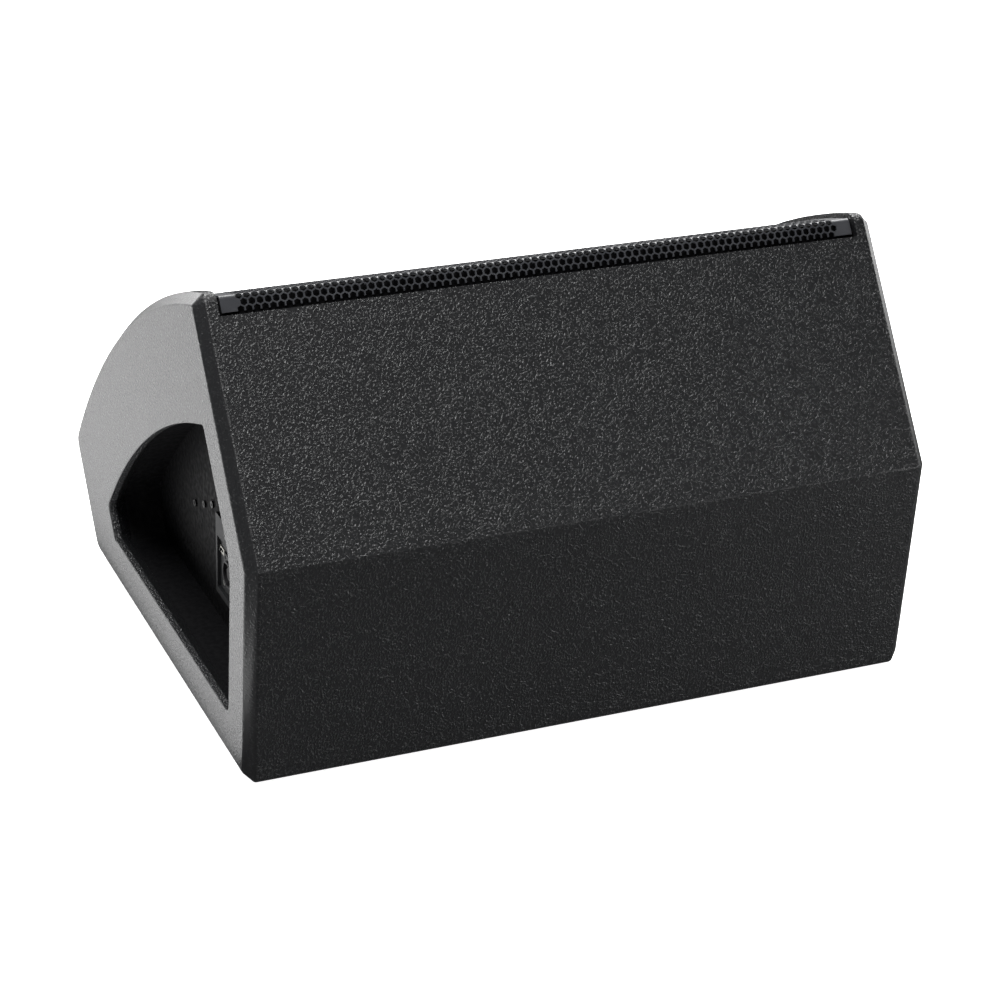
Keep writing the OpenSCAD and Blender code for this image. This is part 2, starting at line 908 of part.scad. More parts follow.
module crossover_board() {
    color("darkgreen")
        difference() {
            translate([board_x0, board_y0, board_z]) cube([board_w, board_d, 1.6]);
            for (p = standoff_places)
                translate([p[0], p[1], board_z - 1]) cylinder(r = 1.7, h = 4);
        }
}

module board_standoffs() {
    color("gold")
        for (p = standoff_places)
            translate([p[0], p[1], floor_z])
                difference() {
                    cylinder(r = 3.5, h = 8);
                    translate([0, 0, -1]) cylinder(r = 1.55, h = 10);
                }
}

module board_screws() {
    color("silver")
        for (p = standoff_places)
            translate([p[0], p[1], board_top]) pan_screw(2.9, 1.6, 1.5, 7);
}

module coil_at(x, y, r, h, bore) {
    translate([x, y, board_top])
        difference() {
            cylinder(r = r, h = h);
            translate([0, 0, -1]) cylinder(r = bore, h = h + 2);
        }
}

module crossover_inductors() {
    color("orangered") {
        coil_at(-78, 160, 24, 22, 9);
        coil_at(-22, 172, 19, 18, 7);
    }
}

module crossover_capacitors() {
    color("steelblue")
        for (i = [0:3])
            translate([14 + 15 * i, 140, board_top + 6.2])
                rotate([-90, 0, 0])
                    cylinder(r = 6.2, h = 34);
}

module crossover_resistors() {
    color("whitesmoke")
        for (i = [0:1])
            translate([-40 + 24 * i, 124, board_top]) cube([10, 22, 9]);
}

module crossover_terminals() {
    color("seagreen")
        difference() {
            translate([20, 182, board_top]) cube([40, 10, 11]);
            for (i = [0:3])
                translate([25 + 10 * i, 187, board_top + 6]) cylinder(r = 2.2, h = 8);
        }
}

// ---------- leads ----------

// Round lead swept along a route, with a ring of eight corners at each point
lead_sides = 8;
function cross3(a, b) = [a[1] * b[2] - a[2] * b[1], a[2] * b[0] - a[0] * b[2], a[0] * b[1] - a[1] * b[0]];
function unit3(v) = v / norm(v);
function blend3(p, i, t) =
    let (a = p[max(i - 1, 0)], b = p[i], c = p[i + 1], d = p[min(i + 2, len(p) - 1)])
    0.5 * (2 * b + (c - a) * t + (2 * a - 5 * b + 4 * c - d) * t * t + (3 * b - a - 3 * c + d) * t * t * t);
function smooth_route(p, n) = concat([for (i = [0:len(p) - 2], k = [0:n - 1]) blend3(p, i, k / n)], [p[len(p) - 1]]);

module lead(route, r, n = 3) {
    path = smooth_route(route, n);
    m = len(path);
    ring = [for (i = [0:m - 1])
        let (
            t = unit3(path[min(i + 1, m - 1)] - path[max(i - 1, 0)]),
            side = unit3(cross3(t, [0.11, 0.07, 1])),
            up = cross3(side, t)
        )
        for (k = [0:lead_sides - 1]) path[i] + r * (cos(k * 360 / lead_sides) * side + sin(k * 360 / lead_sides) * up)];
    walls = [for (i = [0:m - 2], k = [0:lead_sides - 1])
        let (a = i * lead_sides, j = (k + 1) % lead_sides)
        [a + k, a + lead_sides + k, a + lead_sides + j, a + j]];
    polyhedron(ring, concat([[for (k = [0:lead_sides - 1]) k]], walls,
        [[for (k = [lead_sides - 1:-1:0]) (m - 1) * lead_sides + k]]));
}

input_route = [[210, 53, 94], [196, 55, 93], [168, 95, 87], [130, 150, 74], [80, 184, 62], [60, 187, 58],
               [55, 187, 50], [55, 187, 41]];
woofer_route = [[45, 187, 41], [45, 187, 54], [20, 196, 76], [-30, 180, 110], [-80, 130, 140], [-125, 60, 152],
                [-136, 15, 152], [-130, -4, 151], [-117, -4, 150]];
hf_route = [[35, 187, 41], [35, 187, 56], [30, 178, 90], [20, 150, 125], [8, 115, 144], [0, 92, 136],
            [0, 76, 124]];

module lead_input() color("dimgray") lead(input_route, 3.5);
module lead_woofer() color("firebrick") lead(woofer_route, 2);
module lead_hf() color("gold") lead(hf_route, 2);

// Felt pads that line the base and the rear lower panel
module damping_felt() {
    color([0.3, 0.3, 0.3]) {
        translate([-200, -110, floor_z + 0.3]) cube([400, 130, 12]);
        translate([-225, 0, 0])
            translate([0, heel[0], foot_h])
                rotate([-rear_lean, 0, 0])
                    translate([0, -shell_t - 12.5, 60]) cube([450, 12, 100]);
    }
}

end_panel_right();
end_panel_left();
base_panel();
rear_lower_panel();
rear_upper_panel();
front_lower_panel();
baffle();
baffle_battens();
pocket_frame_right();
pocket_frame_left();
pocket_back_right();
pocket_back_left();
pocket_screws();
grille();
grille_foam();
grille_screws();
rubber_feet();
foot_screws();
port_tube_right();
port_tube_left();
woofer_basket();
woofer_gasket();
woofer_bolts();
woofer_tee_nuts();
woofer_top_plate();
woofer_magnet();
woofer_pole_piece();
coil_former();
coil_winding();
woofer_cone();
woofer_surround();
woofer_spider();
woofer_terminal();
hf_horn();
hf_mounting_plate();
hf_phase_plug();
hf_magnet();
hf_diaphragm();
hf_suspension();
hf_cover();
connector_plate();
plate_screws();
socket_input();
socket_link();
socket_screws();
socket_tags();
mode_switch_body();
mode_switch_lever();
crossover_board();
board_standoffs();
board_screws();
crossover_inductors();
crossover_capacitors();
crossover_resistors();
crossover_terminals();
lead_input();
lead_woofer();
lead_hf();
damping_felt();
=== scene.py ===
import json
import math

import bmesh
import bpy
from mathutils import Matrix, Vector


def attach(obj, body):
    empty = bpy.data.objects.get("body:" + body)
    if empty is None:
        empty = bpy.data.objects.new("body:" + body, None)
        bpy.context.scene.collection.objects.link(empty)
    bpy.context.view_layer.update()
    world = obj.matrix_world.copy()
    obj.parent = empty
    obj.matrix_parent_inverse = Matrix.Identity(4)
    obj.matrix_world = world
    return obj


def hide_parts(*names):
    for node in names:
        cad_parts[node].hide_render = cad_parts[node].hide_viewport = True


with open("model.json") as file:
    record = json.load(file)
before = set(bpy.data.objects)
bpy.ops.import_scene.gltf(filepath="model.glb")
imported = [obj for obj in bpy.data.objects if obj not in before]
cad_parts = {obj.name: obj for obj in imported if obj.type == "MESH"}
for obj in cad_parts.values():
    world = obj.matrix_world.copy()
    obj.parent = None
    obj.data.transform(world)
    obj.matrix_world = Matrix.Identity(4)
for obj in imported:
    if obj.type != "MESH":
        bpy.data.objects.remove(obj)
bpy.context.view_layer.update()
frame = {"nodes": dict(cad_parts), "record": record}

NODES = frame["nodes"]
MM = 0.001
scene = bpy.context.scene

# ---------------------------------------------------------------- camera, lights and floor

LENS_MM = 100.55
CAMERA_PLACE = Vector((0.8935, 2.0427, 1.1954))
CAMERA_PITCH, CAMERA_YAW, CAMERA_ROLL = 0.456956, 0.420493, 0.038722


def make_camera():
    """A long lens that looks down on the rear of the cabinet from its right-hand end."""
    data = bpy.data.cameras.new("camera")
    data.lens, data.sensor_width = LENS_MM, 36.0
    data.clip_start, data.clip_end = 0.05, 60.0
    camera = bpy.data.objects.new("camera", data)
    scene.collection.objects.link(camera)
    sin_y, cos_y = math.sin(CAMERA_YAW), math.cos(CAMERA_YAW)
    sin_p, cos_p = math.sin(CAMERA_PITCH), math.cos(CAMERA_PITCH)
    ahead = Vector((-sin_y * cos_p, -cos_y * cos_p, -sin_p))
    across = Vector((-cos_y, sin_y, 0.0))
    above = across.cross(ahead)
    turn_c, turn_s = math.cos(CAMERA_ROLL), math.sin(CAMERA_ROLL)
    right = turn_c * across + turn_s * above
    up = turn_c * above - turn_s * across
    axes = Matrix((right, up, -ahead)).transposed().to_4x4()
    camera.matrix_world = Matrix.Translation(CAMERA_PLACE) @ axes
    scene.camera = camera


def softbox(name, place, width, height, power, aim=(0.0, 0.0, 0.15)):
    """A soft rectangular light that points at the cabinet, or at its own aim."""
    data = bpy.data.lights.new(name, "AREA")
    data.shape, data.size, data.size_y, data.energy = "RECTANGLE", width, height, power
    light = bpy.data.objects.new(name, data)
    scene.collection.objects.link(light)
    light.location = place
    light.rotation_mode = "QUATERNION"
    light.rotation_quaternion = (Vector(aim) - Vector(place)).to_track_quat("-Z", "Y")


def make_floor():
    """A backlit white table. It is kept out of the cabinet's gloss, as a black card under the
    rear face would keep it."""
    bpy.ops.object.select_all(action="DESELECT")
    bpy.ops.mesh.primitive_plane_add(size=16, location=(0, 0, 0))
    floor = bpy.context.object
    floor.name = "floor"
    floor.data.materials.append(backlit_acrylic())
    floor.visible_glossy = False


# ---------------------------------------------------------------- nodes


def rgb(code):
    """An sRGB hex colour as linear values with full alpha."""
    parts = [int(code[i:i + 2], 16) / 255 for i in (1, 3, 5)]
    return [c / 12.92 if c <= 0.04045 else ((c + 0.055) / 1.055) ** 2.4 for c in parts] + [1.0]


def fill(node, settings=None, links=None):
    """Gives a node's properties and sockets their values, and links outputs into it. A colour
    ramp's setting is its stops, as (position, hex colour)."""
    for key, value in (settings or {}).items():
        if key == "stops":
            colours = node.color_ramp.elements
            while len(colours) < len(value):
                colours.new(0.5)
            for element, (position, code) in zip(colours, value):
                element.position, element.color = position, rgb(code)
        elif isinstance(key, str) and hasattr(node, key):
            setattr(node, key, value)
        else:
            node.inputs[key].default_value = value
    for key, source in (links or {}).items():
        node.id_data.links.new(source, node.inputs[key])
    return node


def add(tree, kind, settings=None, links=None):
    """Adds a node with its settings and links."""
    return fill(tree.nodes.new(kind), settings, links)


def blank_material(name):
    """A new material with its tree, its Principled shader and the object's own coordinates."""
    material = bpy.data.materials.new(name)
    material.use_nodes = True
    tree = material.node_tree
    place = add(tree, "ShaderNodeTexCoord").outputs["Object"]
    return material, tree, tree.nodes["Principled BSDF"], place


# ---------------------------------------------------------------- materials


def structured_coating(name, droplet_mm, grain_mm, low=0.47):
    """Black structured polyurea over plywood: a dull black film whose sprayed droplets
    stand up as small round bumps that catch the light, denser in some places than others."""
    droplet_w, grain_w, drift_w = 1.9 * MM, 0.9 * MM, 45 * MM
    material, tree, shader, place = blank_material(name)
    droplets = add(tree, "ShaderNodeTexNoise",
                   {"Scale": 1 / droplet_w, "Detail": 0.8, "Roughness": 0.5, "Distortion": 0.15},
                   {"Vector": place}).outputs["Fac"]
    grain = add(tree, "ShaderNodeTexNoise",
                {"Scale": 1 / grain_w, "Detail": 1.0, "Roughness": 0.5},
                {"Vector": place}).outputs["Fac"]
    drift = add(tree, "ShaderNodeTexNoise",
                {"Scale": 1 / drift_w, "Detail": 2.0}, {"Vector": place}).outputs["Fac"]
    raised = add(tree, "ShaderNodeMapRange",
                 {"interpolation_type": "SMOOTHSTEP", "From Min": low, "From Max": 0.74},
                 {"Value": droplets}).outputs["Result"]
    density = add(tree, "ShaderNodeMapRange",
                  {"interpolation_type": "SMOOTHSTEP", "From Min": 0.3, "From Max": 0.7,
                   "To Min": 0.85, "To Max": 1.0}, {"Value": drift}).outputs["Result"]
    drops = add(tree, "ShaderNodeMath", {"operation": "MULTIPLY"},
                {0: raised, 1: density}).outputs[0]
    height = add(tree, "ShaderNodeMath", {"operation": "MULTIPLY_ADD", 1: grain_mm / droplet_mm},
                 {0: grain, 2: drops}).outputs[0]
    # Colour follows the height: painted shade in the hollows between the droplets and a painted
    # highlight on their tops
    colour = add(tree, "ShaderNodeValToRGB",
                 {"stops": [(0.0, "#0e0e10"), (0.5, "#111213"), (1.0, "#18191a")]},
                 {"Fac": height}).outputs["Color"]
    gloss = add(tree, "ShaderNodeMapRange",
                {"interpolation_type": "SMOOTHSTEP", "To Min": 0.40, "To Max": 0.30},
                {"Value": drops}).outputs["Result"]
    bump = add(tree, "ShaderNodeBump", {"Distance": droplet_mm * MM},
               {"Height": height}).outputs["Normal"]
    fill(shader, {"Specular IOR Level": 0.42},
         {"Base Color": colour, "Roughness": gloss, "Normal": bump})
    return material


def powder_coat(name, dark, light, roughness, specular=0.5):
    """Thin black powder coat on steel sheet: smooth with a faint orange peel."""
    peel_w, peel_mm, dust_w = 0.8 * MM, 0.03, 30 * MM
    material, tree, shader, place = blank_material(name)
    peel = add(tree, "ShaderNodeTexNoise",
               {"Scale": 1 / peel_w, "Detail": 1.0}, {"Vector": place}).outputs["Fac"]
    dust = add(tree, "ShaderNodeTexNoise",
               {"Scale": 1 / dust_w, "Detail": 4.0}, {"Vector": place}).outputs["Fac"]
    colour = add(tree, "ShaderNodeValToRGB", {"stops": [(0.3, dark), (0.75, light)]},
                 {"Fac": dust}).outputs["Color"]
    gloss = add(tree, "ShaderNodeMapRange",
                {"interpolation_type": "SMOOTHSTEP", "From Min": 0.3, "From Max": 0.7,
                 "To Min": roughness - 0.05, "To Max": roughness + 0.07},
                {"Value": dust}).outputs["Result"]
    bump = add(tree, "ShaderNodeBump", {"Distance": peel_mm * MM},
               {"Height": peel}).outputs["Normal"]
    fill(shader, {"Specular IOR Level": specular},
         {"Base Color": colour, "Roughness": gloss, "Normal": bump})
    return material


def grained(name, dark, light, grain_mm, depth_mm, roughness, metallic=0.0, stretch=(1, 1, 1),
            specular=0.5, ior=1.45):
    """A finish with one even grain: cast, moulded, sintered, woven or drawn, by its grain's
    size, depth and stretch."""
    material, tree, shader, place = blank_material(name)
    laid = add(tree, "ShaderNodeMapping", {"Scale": stretch}, {"Vector": place}).outputs["Vector"]
    grain = add(tree, "ShaderNodeTexNoise",
                {"Scale": 1 / (grain_mm * MM), "Detail": 3.0, "Roughness": 0.6},
                {"Vector": laid}).outputs["Fac"]
    colour = add(tree, "ShaderNodeValToRGB", {"stops": [(0.3, dark), (0.7, light)]},
                 {"Fac": grain}).outputs["Color"]
    gloss = add(tree, "ShaderNodeMapRange",
                {"interpolation_type": "SMOOTHSTEP", "From Min": 0.3, "From Max": 0.7,
                 "To Min": roughness - 0.06, "To Max": roughness + 0.06},
                {"Value": grain}).outputs["Result"]
    bump = add(tree, "ShaderNodeBump", {"Distance": depth_mm * MM},
               {"Height": grain}).outputs["Normal"]
    fill(shader, {"Metallic": metallic, "IOR": 1.5 if metallic else ior,
                  "Specular IOR Level": specular},
         {"Base Color": colour, "Roughness": gloss, "Normal": bump})
    return material


def open_cell_foam():
    """Black reticulated polyester foam: a matt mass of open pores about a millimetre across."""
    pore_w, pore_mm = 1.3 * MM, 0.7
    material, tree, shader, place = blank_material("open_cell_foam")
    pores = add(tree, "ShaderNodeTexVoronoi", {"Scale": 1 / pore_w, "feature": "F1"},
                {"Vector": place}).outputs["Distance"]
    # Painted shade in the pores: darkest at each pore's middle, lighter on the struts between them
    colour = add(tree, "ShaderNodeValToRGB", {"stops": [(0.15, "#030303"), (0.6, "#121212")]},
                 {"Fac": pores}).outputs["Color"]
    bump = add(tree, "ShaderNodeBump", {"Distance": pore_mm * MM},
               {"Height": pores}).outputs["Normal"]
    fill(shader, {"Roughness": 0.95, "Specular IOR Level": 0.15},
         {"Base Color": colour, "Normal": bump})
    return material


def birch_plywood():
    """Bare birch plywood: pale veneer with long soft figure."""
    figure_w, figure_mm, figure_stretch = 4 * MM, 0.06, (0.06, 1.0, 1.0)
    material, tree, shader, place = blank_material("birch_plywood")
    laid = add(tree, "ShaderNodeMapping", {"Scale": figure_stretch},
               {"Vector": place}).outputs["Vector"]
    figure = add(tree, "ShaderNodeTexNoise",
                 {"Scale": 1 / figure_w, "Detail": 5.0, "Distortion": 0.8},
                 {"Vector": laid}).outputs["Fac"]
    colour = add(tree, "ShaderNodeValToRGB",
                 {"stops": [(0.3, "#b8935f"), (0.5, "#d3b481"), (0.75, "#e2c898")]},
                 {"Fac": figure}).outputs["Color"]
    bump = add(tree, "ShaderNodeBump", {"Distance": figure_mm * MM},
               {"Height": figure}).outputs["Normal"]
    fill(shader, {"Roughness": 0.62}, {"Base Color": colour, "Normal": bump})
    return material


def wound_wire(name, tilt):
    """Enamelled copper wire: close bright turns round an axis that leans back by tilt."""
    turn_w, turn_mm = 2 * math.pi * MM, 0.3
    material, tree, shader, place = blank_material(name)
    laid = add(tree, "ShaderNodeMapping", {"Rotation": (-tilt, 0, 0)},
               {"Vector": place}).outputs["Vector"]
    # A wave at scale 1 runs through 20 radians a unit. The turns are drawn 6 mm wide to show.
    turns = add(tree, "ShaderNodeTexWave",
                {"Scale": 2 * math.pi / (20 * turn_w), "bands_direction": "Z", "Distortion": 0.3},
                {"Vector": laid}).outputs["Fac"]
    # Painted shade in the grooves between the turns and a painted highlight on their crests, from
    # the same wave as the bump
    colour = add(tree, "ShaderNodeValToRGB",
                 {"stops": [(0.0, "#6e2f12"), (0.6, "#b8602f"), (1.0, "#cf7a45")]},
                 {"Fac": turns}).outputs["Color"]
    bump = add(tree, "ShaderNodeBump", {"Distance": turn_mm * MM},
               {"Height": turns}).outputs["Normal"]
    fill(shader, {"Metallic": 0.9, "Roughness": 0.3}, {"Base Color": colour, "Normal": bump})
    return material


def matt_paint():
    """Thin black paint on the pocket's plywood: dull, mottled where it soaked in. The same flat
    black also stands as painted shade in the recess under the grille's flange.
    """
    mottle_w, mottle_mm = 5 * MM, 0.25
    material, tree, shader, place = blank_material("matt_black_paint_and_painted_shade")
    mottle = add(tree, "ShaderNodeTexNoise", {"Scale": 1 / mottle_w, "Detail": 3.0},
                 {"Vector": place}).outputs["Fac"]
    colour = add(tree, "ShaderNodeValToRGB", {"stops": [(0.35, "#040405"), (0.7, "#0c0c0d")]},
                 {"Fac": mottle}).outputs["Color"]
    gloss = add(tree, "ShaderNodeMapRange",
                {"interpolation_type": "SMOOTHSTEP", "From Min": 0.3, "From Max": 0.7,
                 "To Min": 0.75, "To Max": 0.55}, {"Value": mottle}).outputs["Result"]
    bump = add(tree, "ShaderNodeBump", {"Distance": mottle_mm * MM},
               {"Height": mottle}).outputs["Normal"]
    fill(shader, {"Specular IOR Level": 0.05},
         {"Base Color": colour, "Roughness": gloss, "Normal": bump})
    return material


def backlit_acrylic():
    """A white acrylic sheet lit from below: even white light with no visible surface."""
    material, tree, shader, place = blank_material("backlit_white_acrylic")
    haze = add(tree, "ShaderNodeTexNoise", {"Scale": 3.0}, {"Vector": place}).outputs["Fac"]
    colour = add(tree, "ShaderNodeValToRGB", {"stops": [(0.3, "#f0f0f0"), (0.7, "#f6f6f6")]},
                 {"Fac": haze}).outputs["Color"]
    fill(shader, {"Roughness": 0.9, "Specular IOR Level": 0.1, "Emission Color": rgb("#ffffff"),
                  "Emission Strength": 1.0}, {"Base Color": colour})
    return material


coating = structured_coating("structured_black_coating", 0.6, 0.22)
# On a machined bevel the wet film levels out, so the droplets are much lower.
levelled_coating = structured_coating("levelled_black_coating", 0.16, 0.05, 0.5)
# The grille's coat is a satin dark grey, the plate's blacker and duller.
grille_coat = powder_coat("powder_coated_grille_steel", "#26272a", "#2e2f32", 0.42)
plate_coat = powder_coat("powder_coated_plate_steel", "#101112", "#17181a", 0.55, 0.22)
pocket_paint_and_painted_shade = matt_paint()
foam = open_cell_foam()
plywood = birch_plywood()
voice_wire = wound_wire("voice_coil_wire", math.radians(36))
choke_wire = wound_wire("inductor_wire", 0.0)

# Each grain below has its dark and light colour, its width and depth in mm, and its roughness.
# The finest are drawn at about half a millimetre, coarser than the real ones, so that they show.

# Black zinc on steel: a dark metal with soft highlights.
screw_coat = grained("black_zinc_steel", "#0b0b0c", "#1a1a1c", 0.6, 0.01, 0.34, 0.85)
# Bright zinc and nickel plate: pale metal, the zinc a little cloudy.
zinc = grained("zinc_plated_steel", "#8d8e8c", "#b9bab6", 1.2, 0.01, 0.30, 1.0)
steel = grained("nickel_plated_steel", "#97958f", "#bab8b1", 6.0, 0.01, 0.33, 1.0)
# Moulded from black ABS, whose spark-eroded mould leaves a fine even grain.
black_abs = grained("moulded_black_abs", "#0a0a0b", "#121214", 0.5, 0.02, 0.5, specular=0.25,
                    ior=1.54)
# Moulded rubber is dull with a dusty bloom. Cellular rubber is duller, pricked by its cells.
rubber = grained("moulded_rubber", "#0d0d0e", "#1a1a1b", 0.8, 0.05, 0.75, specular=0.3)
cell_rubber = grained("cellular_rubber", "#0b0b0b", "#151515", 0.6, 0.1, 0.9, specular=0.2)
# Sprayed enamel on a casting: a satin black that keeps the casting's ripple.
cast_paint = grained("painted_cast_aluminium", "#131415", "#1f2022", 1.5, 0.08, 0.5)
# Sintered ferrite: charcoal grey and stony.
ferrite = grained("sintered_ferrite", "#1c1c1e", "#2b2b2e", 2.0, 0.05, 0.6)
# Polyimide film: amber and glossy.
polyimide = grained("polyimide_film", "#9a5f16", "#b87a24", 8.0, 0.01, 0.25, ior=1.7)
# Coated paper pulp: matt black with the felt-like fleck of its fibres.
paper = grained("coated_paper_pulp", "#101011", "#1d1d1e", 1.6, 0.15, 0.78, specular=0.3)
# Woven cotton: the surround's is doped soft black, the spider's stiff with amber resin.
treated_cloth = grained("doped_cotton_surround", "#0b0b0c", "#161617", 0.7, 0.1, 0.6)
resin_cloth = grained("resin_treated_cotton", "#a3874c", "#c6aa6c", 0.7, 0.15, 0.8)
# Turned aluminium has streaks along Z, foil only a faint cloud, and brass is yellow and bright.
aluminium = grained("machined_aluminium", "#b4b5b6", "#cfd0d1", 0.4, 0.01, 0.28, 1.0, (1, 1, 0.1))
titanium = grained("titanium_foil", "#83817e", "#a19f9b", 2.0, 0.01, 0.3, 1.0)
brass = grained("brass", "#b8913f", "#d9b665", 1.0, 0.01, 0.28, 1.0)
# Solder mask over glass fibre, and the components on it: glossy green board, glossy blue film
# capacitors, chalky white resistors and clean green moulded terminals.
laminate = grained("solder_masked_laminate", "#0c3a1c", "#155229", 5.0, 0.02, 0.3)
film_case = grained("film_capacitor_case", "#16315f", "#1f417a", 3.0, 0.02, 0.28)
ceramic = grained("ceramic_resistor_case", "#c9c4b5", "#e0dccf", 0.6, 0.05, 0.8)
block_plastic = grained("green_polyamide", "#1a6b38", "#24854a", 0.5, 0.02, 0.4)
# Extruded PVC insulation: smooth with a soft gloss.
black_pvc = grained("black_pvc_insulation", "#0c0c0d", "#161617", 1.0, 0.02, 0.42)
red_pvc = grained("red_pvc_insulation", "#8d1410", "#a81d17", 1.0, 0.02, 0.4)
yellow_pvc = grained("yellow_pvc_insulation", "#c7991a", "#dab02c", 1.0, 0.02, 0.4)
# Needled felt: grey, deep and quite without gloss.
felt = grained("damping_felt", "#3a3b3d", "#5a5b5d", 1.2, 0.8, 0.95, specular=0.1)

SLOT_MATERIALS = {
    "coated_board": coating, "birch_ply": plywood, "black_screw": screw_coat,
    "grille_steel": grille_coat, "grille_foam": foam, "foot_rubber": rubber, "zinc_steel": zinc,
    "black_plastic": black_abs, "basket_cast": cast_paint, "gasket_foam": cell_rubber,
    "plated_steel": steel, "ferrite": ferrite, "coil_former_film": polyimide,
    "coil_copper": choke_wire, "cone_paper": paper, "surround_cloth": treated_cloth,
    "spider_cloth": resin_cloth, "hf_alloy": aluminium, "titanium": titanium,
    "hf_film": polyimide, "plate_metal": plate_coat, "tag_brass": brass,
    "board_laminate": laminate, "capacitor_film": film_case, "resistor_ceramic": ceramic,
    "terminal_plastic": block_plastic, "lead_black": black_pvc, "lead_red": red_pvc,
    "lead_yellow": yellow_pvc, "felt_grey": felt,
}
NODE_SLOT = {s["node"]: s["material_slot"] for s in frame["record"]["subparts"]}
BODY_OF = {node: body for body, nodes in frame["record"]["behaviour"]["bodies"].items()
           for node in nodes}


def coat_node(node, material):
    """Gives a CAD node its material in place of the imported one."""
    mesh = NODES[node].data
    mesh.materials.clear()
    mesh.materials.append(material)


for node_name, slot_name in NODE_SLOT.items():
    coat_node(node_name, SLOT_MATERIALS[slot_name])
for side in ("right", "left"):
    coat_node("pocket_frame_" + side, pocket_paint_and_painted_shade)
    coat_node("pocket_back_" + side, pocket_paint_and_painted_shade)
coat_node("coil_winding", voice_wire)

# ---------------------------------------------------------------- ways of working on a piece

# Points closer than this are one point
SAME_POINT = 0.002 * MM


def select_only(obj):
    bpy.ops.object.select_all(action="DESELECT")
    obj.select_set(True)
    bpy.context.view_layer.objects.active = obj


def editing(obj):
    """Opens a piece's edges in edit mode with nothing selected."""
    select_only(obj)
    bpy.ops.object.mode_set(mode="EDIT")
    bpy.ops.mesh.select_mode(type="EDGE")
    bpy.ops.mesh.select_all(action="DESELECT")


def done():
    bpy.ops.object.mode_set(mode="OBJECT")


def apply_modifier(obj, kind, **settings):
    """Adds a modifier with its settings and applies it."""
    modifier = obj.modifiers.new(kind.lower(), kind)
    for key, value in settings.items():
        setattr(modifier, key, value)
    select_only(obj)
    bpy.ops.object.modifier_apply(modifier=modifier.name)


def copy_of(node, name):
    """A copy of a CAD node with its loose triangles joined into whole faces."""
    obj = bpy.data.objects.new(name, NODES[node].data.copy())
    scene.collection.objects.link(obj)
    select_only(obj)
    if obj.data.has_custom_normals:
        bpy.ops.mesh.customdata_custom_splitnormals_clear()
    bpy.ops.object.mode_set(mode="EDIT")
    bpy.ops.mesh.select_all(action="SELECT")
    bpy.ops.mesh.remove_doubles(threshold=SAME_POINT)
    bpy.ops.mesh.dissolve_limited(angle_limit=math.radians(0.4))
    done()
    return obj


def keep_selected(obj, wanted):
    """Of the selected edges, keeps those that wanted(middle, ends) picks."""
    mesh = bmesh.from_edit_mesh(obj.data)
    for edge in mesh.edges:
        if edge.select:
            a, b = edge.verts[0].co, edge.verts[1].co
            edge.select_set(bool(wanted((a + b) / 2, (a, b))))
    mesh.select_flush_mode()
    bmesh.update_edit_mesh(obj.data)


def round_sharp(obj, width_mm, wanted=lambda middle, ends: True, segments=3, sharp=25):
    """Rounds the sharp edges that wanted picks."""
    editing(obj)
    bpy.ops.mesh.edges_select_sharp(sharpness=math.radians(sharp))
    keep_selected(obj, wanted)
    bpy.ops.mesh.bevel(offset=width_mm * MM, segments=segments, affect="EDGES",
                       clamp_overlap=True, harden_normals=False)
    done()


def finish_piece(obj, material, node, angle=30):
    """Gives a finished piece its material, slot and body, its CAD node's place, and smooth
    shading up to an angle, in which the large flat faces stay flat."""
    select_only(obj)
    bpy.ops.object.shade_smooth_by_angle(angle=math.radians(angle))
    apply_modifier(obj, "WEIGHTED_NORMAL", keep_sharp=True)
    obj.data.materials.clear()
    obj.data.materials.append(material)
    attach(obj, BODY_OF[node])
    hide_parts(node)


# ---------------------------------------------------------------- the cabinet's profile

FOOT_H = 5 * MM
REAR_LEAN = math.radians(3)
REAR_LOWER_H = 195 * MM
BASE_L = 431.5 * MM
REAR_UPPER_L = 222.5 * MM
FRONT_LOWER_L = 113 * MM
FRONT_R = 727 * MM
TIP_R = 20 * MM
TILT = math.radians(54)
# The rear upper panel and the front lower panel face outwards at these angles
UP_A, LOW_A = math.radians(36), math.radians(216)


def unit(angle):
    return Vector((math.cos(angle), math.sin(angle)))


# The way up both of those panels
RISE = unit(math.pi - TILT)


def on_line_and_circle(angle, reach, centre, radius, side):
    """Where the line `reach` out in direction `angle` meets a circle."""
    gap = reach - unit(angle).dot(centre)
    half_chord = math.sqrt(radius ** 2 - gap ** 2)
    return centre + gap * unit(angle) + side * half_chord * unit(angle + math.pi / 2)


def profile():
    """The side profile's corners, as in the CAD source: knee, toe, crown and tip, and the centre
    of the front's curve."""
    heel = Vector((0.0, FOOT_H))
    knee = heel + Vector((REAR_LOWER_H * math.tan(REAR_LEAN), REAR_LOWER_H))
    toe = heel - Vector((BASE_L, 0.0))
    crown, tip = knee + REAR_UPPER_L * RISE, toe + FRONT_LOWER_L * RISE
    chord = crown - tip
    leg = math.sqrt(FRONT_R ** 2 - chord.length_squared / 4)
    centre = (crown + tip) / 2 + Vector((chord.y, -chord.x)).normalized() * leg
    tip_reach = unit(LOW_A).dot(toe) - TIP_R
    tip_centre = on_line_and_circle(LOW_A, tip_reach, centre, FRONT_R - TIP_R, -1)
    # The CAD source centres the profile on its widest points
    shift = Vector((-(knee.x + tip_centre.x - TIP_R) / 2, 0.0))
    return [point + shift for point in (knee, toe, crown, tip, centre)]


KNEE, TOE, CROWN, TIP, CENTRE = profile()

# ---------------------------------------------------------------- end panels

END_X = 300 * MM
INNER_X = 282 * MM
BEVEL_W = 9 * MM


